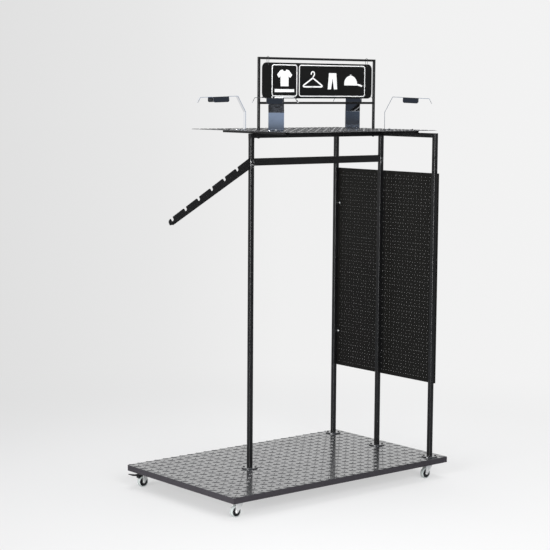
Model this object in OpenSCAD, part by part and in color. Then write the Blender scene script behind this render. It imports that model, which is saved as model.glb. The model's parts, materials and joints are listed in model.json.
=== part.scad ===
// Mobile garment and cap display stand: a wheeled tread plate base, a frame of
// square tube, a hanging rail, a notched waterfall arm, a perforated back panel,
// a tread plate top shelf with four cap holders, and a hanging sign.
// Millimetres, +Z up. The origin is on the floor under the middle of the whole stand.
// +X runs from the arm end to the panel end, and left is +Y.

/* [Base] */
// Length of the base
base_l = 1250; // [1200:10:1400]
// Width of the base
base_w = 765; // [740:5:900]
// Height and width of the square base tube
base_tube = 25; // [25:1:30]
// Thickness of the tread plate deck
deck_t = 3; // [2:0.5:5]

/* [Casters] */
// Height from the floor to the underside of the base
caster_h = 71; // [71:1:80]
// Distance of the swivel axis from the base's end
caster_inset_x = 69; // [60:1:90]
// Distance of the swivel axis from the base's side
caster_inset_y = 49; // [45:1:80]
// Diameter over the tyre
wheel_d = 50; // [46:1:52]
// Distance of the axle behind the swivel axis
trail = 22; // [18:1:24]

/* [Frame] */
// Side of the square upright tube
tube = 20; // [20:1:25]
// Height of the frame's top above the deck
frame_h = 1480; // [1300:10:1700]
// Distance of the front upright from the base's front end
front_x = 392; // [380:1:450]
// Distance of the two rear uprights from the base's front end
rear_x = 1186.5; // [1150:0.5:1190]
// Distance between the axes of the two rear uprights
rear_span = 664; // [600:2:680]
// Diameter of the round floor flanges
flange_d = 74; // [70:1:80]

/* [Hanging rail and arm] */
// Height of the rail's top edge above the deck
rail_top = 1372; // [1200:1:1400]
// Depth of the rail
rail_h = 32; // [30:1:36]
// Thickness of the rail
rail_t = 10; // [8:1:12]
// Slope of the waterfall arm below level, in degrees
arm_slope = 30; // [20:1:35]
// Depth of the arm at the upright
arm_root = 42; // [40:1:50]
// Depth of the arm at its last notch
arm_tip = 30; // [28:1:34]
// Thickness of the arm
arm_t = 6; // [5:1:8]
// Number of notches
notch_count = 6; // [3:1:6]
// Distance between notches, along the arm
notch_pitch = 80; // [70:1:80]
// Width of a notch
notch_w = 14; // [12:1:16]
// Depth of a notch
notch_d = 16; // [14:1:17]

/* [Perforated panel] */
// Height of the panel
panel_h = 960; // [800:10:1000]
// Height of the panel's lower edge above the deck
panel_z = 339; // [300:1:400]
// Depth of the panel's folded edge
panel_d = 10; // [8:1:14]

/* [Top shelf] */
// Length of the shelf sheet
shelf_l = 878; // [860:1:900]
// Width of the shelf sheet
shelf_w = 670; // [640:2:680]
// Thickness of the shelf sheet
shelf_t = 2; // [1.5:0.5:3]
// Height of the bearers under the sheet
bearer_h = 12; // [10:1:16]
// Width of the bearers
bearer_w = 22; // [20:1:23]
// Length of the bearers
bearer_l = 432; // [400:2:600]

/* [Sign] */
// Side of the square sign tube
sign_tube = 10; // [9:1:12]
// Height of the sign frame above the top of the frame
sign_h = 331; // [300:1:340]
// Height of the lower bar's underside above the top of the frame
sign_low = 127; // [120:1:140]
// Length of the sign board
board_l = 650; // [600:2:652]
// Height of the sign board
board_h = 156; // [150:1:160]
// Thickness of the sign board
board_t = 5; // [3:1:6]
// Radius of the board's corners
board_r = 24; // [15:1:30]

/* [Cap holders] */
// Width of the holder strip
strip_w = 68; // [60:1:70]
// Thickness of the holder strip
strip_t = 2; // [1.5:0.5:3]
// Height of the vertical leg
leg_h = 78; // [70:1:85]
// Height of the head above the shelf
head_h = 147; // [140:1:155]
// Reach of the head from the leg
head_reach = 200; // [180:1:210]
// Reach of each side wing from the middle of the strip
wing_reach = 85; // [80:1:90]
// Size of the wings along the head
wing_l = 70; // [60:1:75]

/* [Hidden] */
// Levels
deck_z = caster_h + base_tube + deck_t;
top_z = deck_z + frame_h;
shelf_z = top_z + bearer_h;
shelf_top = shelf_z + shelf_t;

// The arm's rounded nose, along and below the arm's top edge from the upright's axis
arm_top = frame_h - 100.7;
first_notch = 94.3;
nose_r = 13;
nose_a = first_notch + (notch_count - 1) * notch_pitch + 9.7;
nose_b = nose_r + 1.5;
tip_reach = nose_a * cos(arm_slope) - nose_b * sin(arm_slope) + nose_r;

// The arm's nose reaches past the base's front end, and the corners of the rear
// cap holders' wings reach past its rear end, so x0 centres the whole stand
front_overhang = tip_reach - front_x;
wing_mid = 117;
tab_out = 12;
tab_r = 8;
rear_leg_x = 1085;
corner_reach = (wing_mid + wing_l / 2 + wing_reach + tab_out - tab_r / 2) * cos(45);
x0 = (front_overhang - rear_leg_x - corner_reach) / 2;
y0 = base_w / 2;
x_front = x0 + front_x;
x_rear = x0 + rear_x;
x_mid = x_rear - tube;
y_rear = rear_span / 2;
half = tube / 2;
wall = 1.5;

// Uprights: axis and height of the top
UPRIGHTS = [[x_front, 0], [x_mid, 0], [x_rear, y_rear], [x_rear, -y_rear]];

// Casters: front left, front right, rear left and rear right
CASTER_X = [x0 + caster_inset_x, x0 + base_l - caster_inset_x];
CASTER_Y = y0 - caster_inset_y;
CASTERS = [[CASTER_X[0], CASTER_Y], [CASTER_X[0], -CASTER_Y],
           [CASTER_X[1], CASTER_Y], [CASTER_X[1], -CASTER_Y]];
plate_side = 60;
plate_t = 2.5;
plate_hole = 19;
bolt_r = 2.5;
nut_r = 4.6;
corner_side = 90;
corner_t = 4;
race_r = 16;
race_h = 4;
fork_top = caster_h - plate_t - race_h - 0.3;
fork_t = 2.5;
fork_gap = 20;
kingpin_r = 5;
axle_r = 4;
wheel_r = wheel_d / 2;
hub_r = wheel_r - 5;
pin_r = 2.5;
pedal_pin = [-20, fork_top - 8];

// Cross members under the deck
member_h = 14;
member_w = 90;
MEMBER_X = [x_front, x_rear - half];

// Floor flanges
flange_t = 4;
flange_pcd = 52;
screw_r = 3;

// Hooks that carry the rail and the arm, and the slots that they drop into
hook_t = 4;
hook_neck = 8;
hook_drop = 5;
slot_w = 5;
slot_h = 14;
RAIL_HOOKS = [deck_z + rail_top - 16, deck_z + rail_top - 31];
ARM_HOOKS = [deck_z + arm_top - 22, deck_z + arm_top - 46];

// Perforated panel
panel_w = rear_span + tube;
sheet_t = 1.5;
lip = 12;
panel_x = x_rear + half;
CLIP_Z = [deck_z + panel_z + 168, deck_z + panel_z + panel_h - 168];
clip_h = 24;
clip_w = 15;

// Top shelf
shelf_x = x_rear + half - shelf_l;
BEARER_X = [x_front + half + 1 + bearer_w / 2, x_rear];
bearer_screw_y = bearer_l / 2 - 30;

// Sign
POST_X = [x_front + half + bearer_w + 7.8, x_mid - 51];
post_foot = 20;
link_r = 7.6;
link_low_r = 3.2;
link_t = 2;
side_proud = 0.1;
bar_z = top_z + sign_h - sign_tube / 2;
board_z = top_z + sign_h - sign_tube - 13 - board_h;
board_x = (POST_X[0] + POST_X[1]) / 2 + 1.5;
link_x = board_l / 2 - 32;
link_drop = bar_z - board_z - board_h + 7;

// Cap holders: place of the leg and heading of the head, in degrees
holder_x = [x0 + 440.6, x0 + rear_leg_x];
holder_y = 109;
HOLDERS = [[holder_x[0], holder_y, 150], [holder_x[0], -holder_y, 228],
           [holder_x[1], holder_y, 45], [holder_x[1], -holder_y, -45]];
holder_screw = 22;
foot_l = 44;
droop = 7;
brow = 35;
tab_down = 24;

$fn = 48;

// ---------- shared shapes ----------

// A box centred on X and Y that stands on z = 0
module block(x, y, z) translate([-x / 2, -y / 2, 0]) cube([x, y, z]);

// A square tube along +Z, open at both ends
module square_tube(side, length, t = wall) {
    difference() {
        block(side, side, length);
        translate([0, 0, -1]) block(side - 2 * t, side - 2 * t, length + 2);
    }
}

// A round-headed screw whose head sits on z = 0 and whose shank points down
module button_screw(r, length) {
    translate([0, 0, -length]) cylinder(r = r, h = length);
    cylinder(r1 = r * 1.85, r2 = r * 1.2, h = r * 0.9);
}

// A base tube with mitred ends, along +X, its outer side on y = 0
module mitred_rail(length) {
    s = base_tube;
    difference() {
        linear_extrude(s) polygon([[0, 0], [length, 0], [length - s, s], [s, s]]);
        translate([-1, wall, wall]) cube([length + 2, s - 2 * wall, s - 2 * wall]);
    }
}

// Points of a strip of thickness t that follows a bent line, one side then the other
function unit(v) = v / norm(v);
function left_of(v) = [-v[1], v[0]];
function bend_normal(p, i) =
    let (a = i > 0 ? left_of(unit(p[i] - p[i - 1])) : left_of(unit(p[1] - p[0])),
         b = i < len(p) - 1 ? left_of(unit(p[i + 1] - p[i])) : a,
         m = unit(a + b))
    m / (m * a);
function strip_outline(p, t) = concat(
    [for (i = [0:len(p) - 1]) p[i] + bend_normal(p, i) * t / 2],
    [for (i = [len(p) - 1:-1:0]) p[i] - bend_normal(p, i) * t / 2]);

// ---------- base ----------

module base_rail(side) {
    color("#3b3a40") translate([x0, 0, caster_h])
        mirror([0, side < 0 ? 0 : 1, 0]) translate([0, -y0, 0]) mitred_rail(base_l);
}

module base_rail_left() base_rail(1);
module base_rail_right() base_rail(-1);

module base_end_rail(x, turn) {
    color("#3b3a40") translate([x, 0, caster_h]) rotate([0, 0, turn])
        translate([-y0, 0, 0]) mitred_rail(base_w);
}

module base_rail_front() base_end_rail(x0, -90);
module base_rail_rear() base_end_rail(x0 + base_l, 90);

// The flange screws' places around one upright
module at_flange_screws() {
    for (a = [45:90:315]) rotate([0, 0, a]) translate([flange_pcd / 2, 0, 0]) children();
}

module at_all_flange_screws() {
    for (u = UPRIGHTS) translate([u[0], u[1], 0]) at_flange_screws() children();
}

module cross_members() {
    span = base_w - 2 * base_tube;
    color("#3b3a40") difference() {
        for (x = MEMBER_X) translate([x, 0, caster_h + base_tube - member_h]) difference() {
            block(member_w, span, member_h);
            translate([0, 0, 2]) block(member_w - 4, span + 2, member_h - 4);
        }
        translate([0, 0, caster_h + base_tube - 3])
            at_all_flange_screws() cylinder(r = screw_r, h = 4);
    }
}

module corner_plates() {
    mid = base_tube + corner_side / 2;
    color("#3b3a40") for (i = [0, 1], j = [-1, 1]) {
        x = i == 0 ? x0 + mid : x0 + base_l - mid;
        c = CASTERS[2 * i];
        difference() {
            translate([x, j * (y0 - mid), caster_h]) block(corner_side, corner_side, corner_t);
            translate([c[0], j * c[1], caster_h - 1])
                at_plate_holes() cylinder(r = bolt_r, h = corner_t + 2);
            translate([c[0], j * c[1], caster_h - 1]) cylinder(r = kingpin_r + 1, h = corner_t + 2);
        }
    }
}

module deck_plate() {
    color("#5a5c60") difference() {
        translate([x0, -y0, caster_h + base_tube]) cube([base_l, base_w, deck_t]);
        translate([0, 0, deck_z - deck_t - 1])
            at_all_flange_screws() cylinder(r = screw_r, h = deck_t + 2);
    }
}

module floor_flanges() {
    color("#1c1c1e") for (u = UPRIGHTS) translate([u[0], u[1], deck_z]) difference() {
        union() {
            cylinder(d = flange_d, h = flange_t - 1.5);
            translate([0, 0, flange_t - 1.5]) cylinder(d1 = flange_d, d2 = flange_d - 3, h = 1.5);
        }
        translate([0, 0, -1]) at_flange_screws() cylinder(r = screw_r, h = flange_t + 2);
    }
}

module flange_screws() {
    color("#2a2a2c") translate([0, 0, deck_z + flange_t])
        at_all_flange_screws() button_screw(screw_r, flange_t + deck_t + 4);
}

// ---------- frame ----------

// One upright on its flange. top is the height of its upper end
module upright(u, top) {
    foot = deck_z + flange_t;
    translate([u[0], u[1], foot]) square_tube(tube, top - foot);
}

// Slots in the wall on one side of an upright, for hooks at the given heights
module hook_slots(u, side, heights) {
    for (z = heights) translate([u[0] + side * (half - wall / 2), u[1], z])
        block(wall + 1, slot_w, slot_h);
}

module front_upright() {
    color("#1c1c1e") difference() {
        upright(UPRIGHTS[0], top_z);
        hook_slots(UPRIGHTS[0], 1, RAIL_HOOKS);
        hook_slots(UPRIGHTS[0], -1, ARM_HOOKS);
    }
}

module middle_upright() {
    color("#1c1c1e") difference() {
        upright(UPRIGHTS[1], top_z - tube);
        hook_slots(UPRIGHTS[1], -1, RAIL_HOOKS);
    }
}

module rear_left_upright() color("#1c1c1e") upright(UPRIGHTS[2], top_z);
module rear_right_upright() color("#1c1c1e") upright(UPRIGHTS[3], top_z);

module tube_caps() {
    side = tube - 2 * wall;
    color("#111111") for (i = [0, 2, 3])
        translate([UPRIGHTS[i][0], UPRIGHTS[i][1], top_z - 8]) block(side, side, 8);
}

module spine_beam() {
    length = x_rear - half - (x_front + half);
    color("#1c1c1e") difference() {
        translate([x_front + half, 0, top_z - half]) rotate([0, 90, 0]) square_tube(tube, length);
        for (x = POST_X) translate([x, 0, top_z - tube - 1]) cylinder(r = screw_r, h = tube + 2);
    }
}

module cross_beam() {
    length = rear_span - tube;
    color("#1c1c1e") translate([x_rear, -length / 2, top_z - half])
        rotate([-90, 0, 0]) square_tube(tube, length);
}

// A hook that points along +X from the face x = 0, its neck resting on z = 0
module hook() {
    n = hook_neck;
    translate([0, hook_t / 2, 0]) rotate([90, 0, 0]) linear_extrude(hook_t)
        polygon([[-2, 0], [wall + 0.7, 0], [wall + 0.7, -hook_drop],
                 [wall + 4, -hook_drop], [wall + 4, n], [-2, n]]);
}

module hanging_rail() {
    x1 = x_front + half;
    x2 = x_mid - half;
    z = deck_z + rail_top - rail_h;
    color("#1a1a1c") {
        difference() {
            translate([x1 + 0.3, -rail_t / 2, z]) cube([x2 - x1 - 0.6, rail_t, rail_h]);
            translate([x1 + 2.3, -rail_t / 2 + wall, z + wall])
                cube([x2 - x1 - 4.6, rail_t - 2 * wall, rail_h - 2 * wall]);
        }
        for (h = RAIL_HOOKS) {
            translate([x2, 0, h]) hook();
            translate([x1, 0, h]) mirror([1, 0, 0]) hook();
        }
    }
}

// The arm's side view: x runs down along its top edge, y is the depth below that edge
module arm_profile() {
    difference() {
        union() {
            polygon([[0, 0], [nose_a, 0], [nose_a, arm_tip], [0, arm_root]]);
            translate([nose_a, nose_b]) circle(r = nose_r);
            translate([nose_a - nose_r, nose_b]) square([2 * nose_r, arm_tip - nose_b - nose_r / 2]);
        }
        for (i = [0:notch_count - 1]) translate([first_notch + i * notch_pitch, 0]) {
            translate([0, notch_d - notch_w / 2]) circle(d = notch_w);
            translate([-notch_w / 2, -5]) square([notch_w, notch_d - notch_w / 2 + 5]);
            polygon([[-notch_w / 2 - 2, -1], [notch_w / 2 + 2, -1], [notch_w / 2, 3], [-notch_w / 2, 3]]);
        }
    }
}

module waterfall_arm() {
    color("#1a1a1c") {
        difference() {
            translate([x_front, arm_t / 2, deck_z + arm_top]) rotate([90, 0, 0])
                rotate([0, 0, 180 + arm_slope]) linear_extrude(arm_t) arm_profile();
            translate([x_front - half - 0.3, -50, deck_z + arm_top - 150]) cube([60, 100, 300]);
        }
        for (h = ARM_HOOKS) translate([x_front - half, 0, h]) hook();
    }
}

// ---------- perforated panel ----------

module perforated_panel() {
    color("#141416") difference() {
        translate([panel_x, -panel_w / 2, deck_z + panel_z]) cube([sheet_t, panel_w, panel_h]);
        at_panel_screws() cylinder(r = 2.5, h = 10, center = true);
    }
}

// A folded edge with a back lip, along +Z. Its outer face is on y = 0
module folded_edge(length) {
    depth = panel_d - sheet_t;
    linear_extrude(length) polygon([[0, 0], [depth, 0], [depth, lip], [depth - sheet_t, lip],
                                    [depth - sheet_t, sheet_t], [0, sheet_t]]);
}

module panel_stiles() {
    color("#2c2c2e") for (s = [0, 1]) mirror([0, s, 0])
        translate([panel_x + sheet_t, -panel_w / 2, deck_z + panel_z]) folded_edge(panel_h);
}

module panel_rails() {
    length = panel_w - 2 * lip;
    mid = deck_z + panel_z + panel_h / 2;
    color("#2c2c2e") translate([panel_x + sheet_t, 0, mid]) for (s = [0, 1]) mirror([0, 0, s])
        translate([0, length / 2, -panel_h / 2]) rotate([90, 0, 0]) folded_edge(length);
}

module at_panel_screws() {
    for (z = CLIP_Z, s = [-1, 1])
        translate([panel_x, s * (y_rear - half - 9), z]) rotate([0, 90, 0]) children();
}

module panel_clips() {
    color("#1c1c1e") for (z = CLIP_Z, s = [0, 1]) mirror([0, s, 0]) difference() {
        translate([panel_x - 14, -y_rear + half, z - clip_h / 2]) union() {
            cube([14, 2, clip_h]);
            translate([12, 0, 0]) cube([2, clip_w, clip_h]);
        }
        translate([panel_x - 1, -y_rear + half + 9, z])
            rotate([0, 90, 0]) cylinder(r = 2.5, h = 6, center = true);
    }
}

module panel_screws() {
    color("#b8b8b8") at_panel_screws()
        translate([0, 0, -2]) rotate([180, 0, 0]) button_screw(2.5, 8);
}

// ---------- top shelf ----------

module bearer(x) {
    color("#161618") difference() {
        translate([x, 0, top_z]) difference() {
            block(bearer_w, bearer_l, bearer_h);
            translate([0, 0, wall]) block(bearer_w - 2 * wall, bearer_l + 2, bearer_h - 2 * wall);
        }
        for (s = [-1, 1]) translate([x, s * bearer_screw_y, shelf_z - 4]) cylinder(r = 2.5, h = 6);
    }
}

module front_bearer() bearer(BEARER_X[0]);
module rear_bearer() bearer(BEARER_X[1]);

module at_holder_screws() {
    for (h = HOLDERS) translate([h[0], h[1], 0]) rotate([0, 0, h[2]])
        translate([holder_screw, 0, 0]) children();
}

module shelf_sheet() {
    color("#6a6c70") difference() {
        translate([shelf_x, -shelf_w / 2, shelf_z]) cube([shelf_l, shelf_w, shelf_t]);
        for (x = POST_X) translate([x, 0, shelf_z - 1])
            block(sign_tube + 0.6, sign_tube + 0.6, shelf_t + 2);
        for (x = BEARER_X, s = [-1, 1])
            translate([x, s * bearer_screw_y, shelf_z - 1]) cylinder(r = 2.5, h = shelf_t + 2);
        translate([0, 0, shelf_z - 1]) at_holder_screws() cylinder(r = screw_r, h = shelf_t + 2);
    }
}

module shelf_screws() {
    color("#2a2a2c") for (x = BEARER_X, s = [-1, 1])
        translate([x, s * bearer_screw_y, shelf_top]) button_screw(2.5, shelf_t + 4);
}

// ---------- sign ----------

module sign_post(x) {
    hollow = sign_tube - 2;
    color("#1c1c1e") translate([x, 0, top_z]) difference() {
        block(sign_tube, sign_tube, sign_h);
        translate([0, 0, post_foot]) block(hollow, hollow, sign_h - post_foot - 1);
        translate([0, 0, -1]) cylinder(r = screw_r, h = post_foot + 2);
    }
}

module front_sign_post() sign_post(POST_X[0]);
module rear_sign_post() sign_post(POST_X[1]);

module sign_bar(z) {
    length = POST_X[1] - POST_X[0] - sign_tube;
    color("#1c1c1e") translate([POST_X[0] + sign_tube / 2, 0, z])
        rotate([0, 90, 0]) square_tube(sign_tube, length, 1);
}

module sign_top_bar() sign_bar(bar_z);
module sign_lower_bar() sign_bar(top_z + sign_low + sign_tube / 2);

module sign_bolts() {
    color("#2a2a2c") for (x = POST_X) translate([x, 0, top_z - tube])
        rotate([180, 0, 0]) button_screw(screw_r, tube + post_foot - 2);
}

// The tear-drop outline of a wire link round the bar and through the board: two
// circles and the straight sides between them, which stand a little proud of both
module link_outline(extra) {
    r1 = link_r + extra;
    r2 = link_low_r + extra;
    ny = (r1 - r2) / link_drop;
    nx = sqrt(1 - ny * ny);
    w1 = (r1 + side_proud) * nx;
    w2 = (r2 + side_proud) * nx;
    circle(r = r1);
    translate([0, -link_drop]) circle(r = r2);
    polygon([[w1, r1 * ny], [-w1, r1 * ny], [-w2, r2 * ny - link_drop], [w2, r2 * ny - link_drop]]);
}

module sign_links() {
    color("#2a2a2c") for (s = [-1, 1]) translate([board_x + s * link_x - link_t / 2, 0, bar_z])
        rotate([90, 0, 90]) linear_extrude(link_t) difference() {
            link_outline(link_t);
            link_outline(0);
        }
}

module sign_board() {
    r = board_r;
    hole = bar_z - link_drop - link_low_r - 2.5;
    color("#1d1d1d") difference() {
        translate([board_x, board_t / 2, board_z]) rotate([90, 0, 0]) linear_extrude(board_t) {
            translate([-board_l / 2, r]) square([board_l, board_h - 2 * r]);
            translate([-board_l / 2 + r, 0]) square([board_l - 2 * r, board_h]);
            for (x = [-1, 1], z = [r, board_h - r])
                translate([x * (board_l / 2 - r), z]) circle(r = r, $fn = 64);
        }
        for (s = [-1, 1]) translate([board_x + s * link_x, 0, hole])
            rotate([90, 0, 0]) cylinder(r = 4, h = board_t + 2, center = true);
    }
}

// ---------- cap holders ----------

head_drop = droop / (head_reach - brow);

// Height of the head's middle surface at a distance from the leg
function head_z(r) = head_h - (r - brow) * head_drop;

// A tab that turns down from the edge x = 0 of a level strip, with two rounded corners
module tab(width, t) {
    length = norm([tab_out, tab_down]);
    inner = width / 2 - tab_r;
    rotate([0, atan2(tab_down, tab_out), 0]) translate([-t / 2, 0, -t / 2]) linear_extrude(t) {
        translate([0, -width / 2]) square([length - tab_r, width]);
        translate([0, -inner]) square([length, 2 * inner]);
        for (s = [-1, 1]) translate([length - tab_r, s * inner]) circle(r = tab_r);
    }
}

// Both side wings with their turned-down tabs, square to the head's fall
module wings() {
    t = strip_t - 0.1;
    translate([wing_mid, 0, head_z(wing_mid)]) rotate([0, atan(head_drop), 0]) {
        translate([-wing_l / 2, -wing_reach, -t / 2]) cube([wing_l, 2 * wing_reach, t]);
        for (a = [-90, 90]) rotate([0, 0, a]) translate([wing_reach, 0, 0]) tab(wing_l, t);
    }
}

module cap_holder(place) {
    t = strip_t;
    line = [[foot_l, t / 2], [0, t / 2], [0, leg_h], [brow, head_h], [head_reach, head_z(head_reach)]];
    color("#aab2bc") translate([place[0], place[1], shelf_top]) rotate([0, 0, place[2]]) difference() {
        union() {
            translate([0, strip_w / 2, 0]) rotate([90, 0, 0])
                linear_extrude(strip_w) polygon(strip_outline(line, t));
            wings();
            translate([head_reach, 0, head_z(head_reach)]) tab(strip_w, t);
        }
        translate([holder_screw, 0, -1]) cylinder(r = screw_r + 0.05, h = t + 2);
    }
}

module front_left_cap_holder() cap_holder(HOLDERS[0]);
module front_right_cap_holder() cap_holder(HOLDERS[1]);
module rear_left_cap_holder() cap_holder(HOLDERS[2]);
module rear_right_cap_holder() cap_holder(HOLDERS[3]);

module holder_screws() {
    gap = 0.1;
    color("#b8b8b8") translate([0, 0, shelf_top + strip_t + gap]) at_holder_screws()
        button_screw(screw_r, strip_t + gap + shelf_t);
}

// ---------- casters ----------

module at_plate_holes() {
    for (x = [-plate_hole, plate_hole], y = [-plate_hole, plate_hole]) translate([x, y, 0]) children();
}

module caster_plates() {
    color("#c8c8c4") for (c = CASTERS) translate([c[0], c[1], caster_h - plate_t]) difference() {
        union() {
            block(plate_side, plate_side, plate_t);
            translate([0, 0, -race_h]) cylinder(r = race_r, h = race_h);
        }
        translate([0, 0, -race_h - 1]) cylinder(r = kingpin_r, h = plate_t + race_h + 2);
        translate([0, 0, -1]) at_plate_holes() cylinder(r = bolt_r, h = plate_t + 2);
    }
}

// Button-headed bolts from below, each with its nut on the corner plate
module caster_bolts() {
    stack = plate_t + corner_t;
    color("#b8b8b8") for (c = CASTERS) translate([c[0], c[1], caster_h - plate_t]) at_plate_holes() {
        rotate([180, 0, 0]) button_screw(bolt_r, stack + 5);
        translate([0, 0, stack]) cylinder(r = nut_r, h = 4, $fn = 6);
    }
}

module kingpins() {
    low = fork_top - fork_t - 0.3;
    color("#9a9a98") for (c = CASTERS) translate([c[0], c[1], 0]) {
        translate([0, 0, low - 1]) cylinder(r = kingpin_r, h = caster_h - low + 1);
        translate([0, 0, low - 2.8]) cylinder(r1 = 6, r2 = 8, h = 2.8);
    }
}

// One cheek of the fork, seen from the side: the swivel axis is x = 0, the floor y = 0
module cheek_outline(braked) {
    difference() {
        union() {
            polygon([[-26, fork_top], [14, fork_top], [-17, wheel_r - 5], [-29, wheel_r]]);
            translate([-trail, wheel_r]) circle(r = 7);
        }
        translate([-trail, wheel_r]) circle(r = axle_r);
        if (braked) translate(pedal_pin) circle(r = pin_r + 0.05);
    }
}

module fork(c, braked) {
    w = fork_gap + 2 * fork_t;
    color("#cfcfcb") translate([c[0], c[1], 0]) {
        difference() {
            translate([-26, -w / 2, fork_top - fork_t]) cube([40, w, fork_t]);
            translate([0, 0, fork_top - fork_t - 1]) cylinder(r = kingpin_r + 0.05, h = fork_t + 2);
        }
        for (y = [-fork_gap / 2, w / 2])
            translate([0, y, 0]) rotate([90, 0, 0]) linear_extrude(fork_t) cheek_outline(braked);
    }
}

module axle(c) {
    out = fork_gap / 2 + fork_t;
    color("#b0b0ae") translate([c[0] - trail, c[1], wheel_r]) rotate([90, 0, 0]) {
        cylinder(r = axle_r, h = 2 * out, center = true);
        for (s = [0, 1]) mirror([0, 0, s]) translate([0, 0, out]) cylinder(r1 = 6.5, r2 = 5, h = 2.2);
    }
}

module hub(c) {
    color("#151517") translate([c[0] - trail, c[1], wheel_r]) rotate([90, 0, 0]) difference() {
        union() {
            cylinder(r = hub_r, h = 16, center = true);
            cylinder(r = 8, h = fork_gap - 0.6, center = true);
        }
        cylinder(r = axle_r + 0.05, h = 30, center = true);
        for (s = [0, 1]) mirror([0, 0, s]) translate([0, 0, 6.5]) difference() {
            cylinder(r = hub_r - 2.5, h = 5);
            translate([0, 0, -1]) cylinder(r = 8.5, h = 7);
        }
    }
}

// The tyre's outline has a crowned tread with rounded shoulders
module tyre(c) {
    b = 8.5;
    color("#b9bfbd") translate([c[0] - trail, c[1], wheel_r]) rotate([90, 0, 0])
        rotate_extrude($fn = 64) polygon([[hub_r, -b], [hub_r + 2.5, -b], [wheel_r - 0.8, -b + 2.2],
            [wheel_r, -b + 4.5], [wheel_r, b - 4.5], [wheel_r - 0.8, b - 2.2],
            [hub_r + 2.5, b], [hub_r, b]]);
}

// A foot pedal: an eye on its pin, a lever over the wheel, a brake shoe and a wide tread
module pedal(c) {
    p = pedal_pin;
    w = fork_gap - 1.4;
    color("#161618") translate([c[0], c[1], 0]) {
        translate([p[0], 0, p[1]]) rotate([90, 0, 0])
            cylinder(r = pin_r, h = fork_gap + 2 * fork_t + 1, center = true);
        translate([0, w / 2, 0]) rotate([90, 0, 0]) linear_extrude(w) difference() {
            union() {
                translate(p) circle(r = 4.6);
                polygon([[p[0], p[1] + 4.6], [-62, p[1] + 4], [-62, p[1] + 0.5], [-50, p[1] - 2],
                         [-49, 43], [-46, 42], [-41, 48], [p[0] - 4, p[1] - 2.3], [p[0], p[1] - 4.6]]);
            }
            translate(p) circle(r = pin_r - 0.3);
        }
        translate([0, 16, 0]) rotate([90, 0, 0]) linear_extrude(32)
            polygon([[-58, p[1] + 3.6], [-87, p[1] + 9], [-89, p[1] + 7.6], [-88, p[1] + 5.4],
                     [-62, p[1] + 0.3], [-58, p[1] - 0.3]]);
    }
}

module front_left_fork() fork(CASTERS[0], true);
module front_left_axle() axle(CASTERS[0]);
module front_left_hub() hub(CASTERS[0]);
module front_left_tyre() tyre(CASTERS[0]);
module front_right_fork() fork(CASTERS[1], false);
module front_right_axle() axle(CASTERS[1]);
module front_right_hub() hub(CASTERS[1]);
module front_right_tyre() tyre(CASTERS[1]);
module rear_left_fork() fork(CASTERS[2], true);
module rear_left_axle() axle(CASTERS[2]);
module rear_left_hub() hub(CASTERS[2]);
module rear_left_tyre() tyre(CASTERS[2]);
module rear_right_fork() fork(CASTERS[3], false);
module rear_right_axle() axle(CASTERS[3]);
module rear_right_hub() hub(CASTERS[3]);
module rear_right_tyre() tyre(CASTERS[3]);
module front_left_pedal() pedal(CASTERS[0]);
module rear_left_pedal() pedal(CASTERS[2]);

base_rail_left();
base_rail_right();
base_rail_front();
base_rail_rear();
cross_members();
corner_plates();
deck_plate();
floor_flanges();
flange_screws();
front_upright();
middle_upright();
rear_left_upright();
rear_right_upright();
tube_caps();
spine_beam();
cross_beam();
hanging_rail();
waterfall_arm();
perforated_panel();
panel_stiles();
panel_rails();
panel_clips();
panel_screws();
front_bearer();
rear_bearer();
shelf_sheet();
shelf_screws();
front_sign_post();
rear_sign_post();
sign_top_bar();
sign_lower_bar();
sign_bolts();
sign_links();
sign_board();
front_left_cap_holder();
front_right_cap_holder();
rear_left_cap_holder();
rear_right_cap_holder();
holder_screws();
caster_plates();
caster_bolts();
kingpins();
front_left_fork();
front_left_axle();
front_left_hub();
front_left_tyre();
front_right_fork();
front_right_axle();
front_right_hub();
front_right_tyre();
rear_left_fork();
rear_left_axle();
rear_left_hub();
rear_left_tyre();
rear_right_fork();
rear_right_axle();
rear_right_hub();
rear_right_tyre();
front_left_pedal();
rear_left_pedal();
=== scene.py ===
"""Looks of the garment and cap display stand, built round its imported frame."""
import json
import math

import bmesh
import bpy
from mathutils import Matrix, Vector
from mathutils.geometry import delaunay_2d_cdt


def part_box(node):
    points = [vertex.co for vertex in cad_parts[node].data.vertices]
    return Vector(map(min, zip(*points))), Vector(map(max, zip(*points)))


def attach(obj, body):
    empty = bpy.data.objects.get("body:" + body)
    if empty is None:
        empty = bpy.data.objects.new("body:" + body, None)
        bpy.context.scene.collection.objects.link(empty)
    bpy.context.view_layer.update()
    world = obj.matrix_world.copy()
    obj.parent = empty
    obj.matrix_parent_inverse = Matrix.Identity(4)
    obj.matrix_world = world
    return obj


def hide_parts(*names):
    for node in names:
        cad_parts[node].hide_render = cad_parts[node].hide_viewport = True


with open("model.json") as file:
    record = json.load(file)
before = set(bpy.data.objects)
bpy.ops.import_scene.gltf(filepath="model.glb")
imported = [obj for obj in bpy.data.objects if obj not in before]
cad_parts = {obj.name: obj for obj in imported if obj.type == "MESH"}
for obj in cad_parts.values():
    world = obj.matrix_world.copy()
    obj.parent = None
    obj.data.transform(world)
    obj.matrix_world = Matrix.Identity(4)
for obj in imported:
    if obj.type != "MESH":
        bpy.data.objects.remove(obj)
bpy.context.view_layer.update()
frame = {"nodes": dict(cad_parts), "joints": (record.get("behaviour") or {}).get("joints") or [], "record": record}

NODES = frame["nodes"]
RECORD = frame["record"]
BODY_OF = {n: body for body, group in RECORD["behaviour"]["bodies"].items() for n in group}
SLOT_OF = {row["node"]: row["material_slot"] for row in RECORD["subparts"]}
MM = 0.001
CORNERS = ("front_left", "front_right", "rear_left", "rear_right")


# ---------- camera, floor and light ----------

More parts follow.
